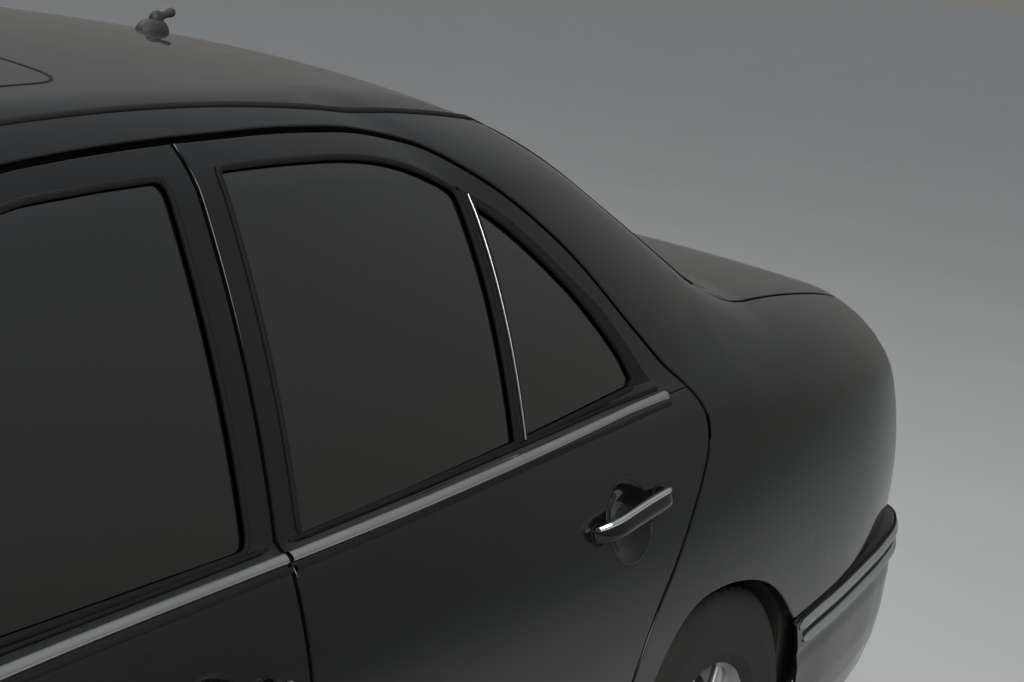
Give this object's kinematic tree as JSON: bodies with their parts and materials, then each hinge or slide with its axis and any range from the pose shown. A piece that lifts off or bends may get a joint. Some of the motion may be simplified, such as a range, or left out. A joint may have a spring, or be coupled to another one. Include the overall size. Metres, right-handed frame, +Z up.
{
  "type": "four-door saloon car",
  "caption": "Rounded four-door saloon with opening doors, bonnet and boot lid, steered front wheels and tinted glass.",
  "frame": {"origin": "on the ground, half way along the car, on its centre line", "axes": "+X to the front of the car, +Y to its left, +Z up"},
  "size_m": [4.7946, 2.13, 1.4549],
  "materials": {
    "paint": "near-black gloss paint under clear lacquer",
    "bright_trim": "satin bright metal trim",
    "black_trim": "black moulded plastic and rubber",
    "lamp": "clear moulded lamp lens",
    "lamp_red": "red moulded lamp lens",
    "glass": "dark tinted safety glass",
    "cast_metal": "dark cast and pressed metal",
    "cabin_trim": "grained dark cabin plastic",
    "upholstery": "dark grained leather",
    "alloy": "silver lacquered alloy with a bright lip",
    "tyre": "black tyre rubber"
  },
  "bodies": {
    "root": {"floor_pan": "paint", "side_frame_left": "paint", "side_frame_right": "paint", "quarter_panels": "paint", "front_wings": "paint", "nose_panel": "paint", "grille": "bright_trim", "roof_panel": "paint", "cowl_panel": "black_trim", "rear_deck": "paint", "headlamps": "lamp", "tail_lamps": "lamp_red", "front_bumper": "paint", "rear_bumper": "paint", "windscreen": "glass", "rear_window": "glass", "engine_block": "cast_metal", "front_subframe": "cast_metal", "rear_axle": "cast_metal", "dashboard": "cabin_trim", "front_seats": "upholstery", "rear_seat": "upholstery", "exhaust": "cast_metal", "wipers": "black_trim", "roof_aerial": "black_trim"},
    "door_front_left": {"door_front_left": "paint", "door_glass_front_left": "glass", "door_trim_front_left": "bright_trim", "mirror_left": "paint"},
    "door_front_right": {"door_front_right": "paint", "door_glass_front_right": "glass", "door_trim_front_right": "bright_trim", "mirror_right": "paint"},
    "door_rear_left": {"door_rear_left": "paint", "door_glass_rear_left": "glass", "door_trim_rear_left": "bright_trim"},
    "door_rear_right": {"door_rear_right": "paint", "door_glass_rear_right": "glass", "door_trim_rear_right": "bright_trim"},
    "bonnet": {"bonnet": "paint"},
    "boot_lid": {"boot_lid": "paint"},
    "steering_wheel": {"steering_wheel": "cabin_trim"},
    "knuckle_left": {"knuckle_left": "cast_metal"},
    "knuckle_right": {"knuckle_right": "cast_metal"},
    "wheel_front_left": {"wheel_front_left": "alloy", "tyre_front_left": "tyre"},
    "wheel_front_right": {"wheel_front_right": "alloy", "tyre_front_right": "tyre"},
    "wheel_rear_left": {"wheel_rear_left": "alloy", "tyre_rear_left": "tyre"},
    "wheel_rear_right": {"wheel_rear_right": "alloy", "tyre_rear_right": "tyre"}
  },
  "joints": [
    {"name": "door_front_left_hinge", "type": "hinge", "parent": "root", "child": "door_front_left", "pos_m": [1.0345, 0.877, 0.6], "axis": [0, 0, -1], "range_deg": [0, 65]},
    {"name": "door_front_right_hinge", "type": "hinge", "parent": "root", "child": "door_front_right", "pos_m": [1.0345, -0.877, 0.6], "axis": [0, 0, 1], "range_deg": [0, 65]},
    {"name": "door_rear_left_hinge", "type": "hinge", "parent": "root", "child": "door_rear_left", "pos_m": [-0.0875, 0.877, 0.6], "axis": [0, 0, -1], "range_deg": [0, 65]},
    {"name": "door_rear_right_hinge", "type": "hinge", "parent": "root", "child": "door_rear_right", "pos_m": [-0.0875, -0.877, 0.6], "axis": [0, 0, 1], "range_deg": [0, 65]},
    {"name": "bonnet_hinge", "type": "hinge", "parent": "root", "child": "bonnet", "pos_m": [1.1555, 0, 0.95], "axis": [0, -1, 0], "range_deg": [0, 50]},
    {"name": "boot_lid_hinge", "type": "hinge", "parent": "root", "child": "boot_lid", "pos_m": [-1.5545, 0, 1.09], "axis": [0, 1, 0], "range_deg": [0, 75]},
    {"name": "steering_wheel_turn", "type": "hinge", "parent": "root", "child": "steering_wheel", "pos_m": [0.5475, 0.37, 0.9], "axis": [-0.9063, 0, 0.4226], "range_deg": [-567, 567]},
    {"name": "steer_left", "type": "hinge", "parent": "root", "child": "knuckle_left", "pos_m": [1.5575, 0.69, 0.324], "axis": [0, 0, 1], "range_deg": [-36, 36]},
    {"name": "steer_right", "type": "hinge", "parent": "root", "child": "knuckle_right", "pos_m": [1.5575, -0.69, 0.324], "axis": [0, 0, 1], "range_deg": [-36, 36]},
    {"name": "roll_front_left", "type": "hinge", "parent": "knuckle_left", "child": "wheel_front_left", "pos_m": [1.5575, 0.765, 0.324], "axis": [0, 1, 0], "continuous": true},
    {"name": "roll_front_right", "type": "hinge", "parent": "knuckle_right", "child": "wheel_front_right", "pos_m": [1.5575, -0.765, 0.324], "axis": [0, 1, 0], "continuous": true},
    {"name": "roll_rear_left", "type": "hinge", "parent": "root", "child": "wheel_rear_left", "pos_m": [-1.2755, 0.765, 0.324], "axis": [0, 1, 0], "continuous": true},
    {"name": "roll_rear_right", "type": "hinge", "parent": "root", "child": "wheel_rear_right", "pos_m": [-1.2755, -0.765, 0.324], "axis": [0, 1, 0], "continuous": true}
  ],
  "couplings": [
    {"joint": "steer_left", "follows": "steering_wheel_turn", "ratio": 0.063492},
    {"joint": "steer_right", "follows": "steering_wheel_turn", "ratio": 0.063492}
  ]
}
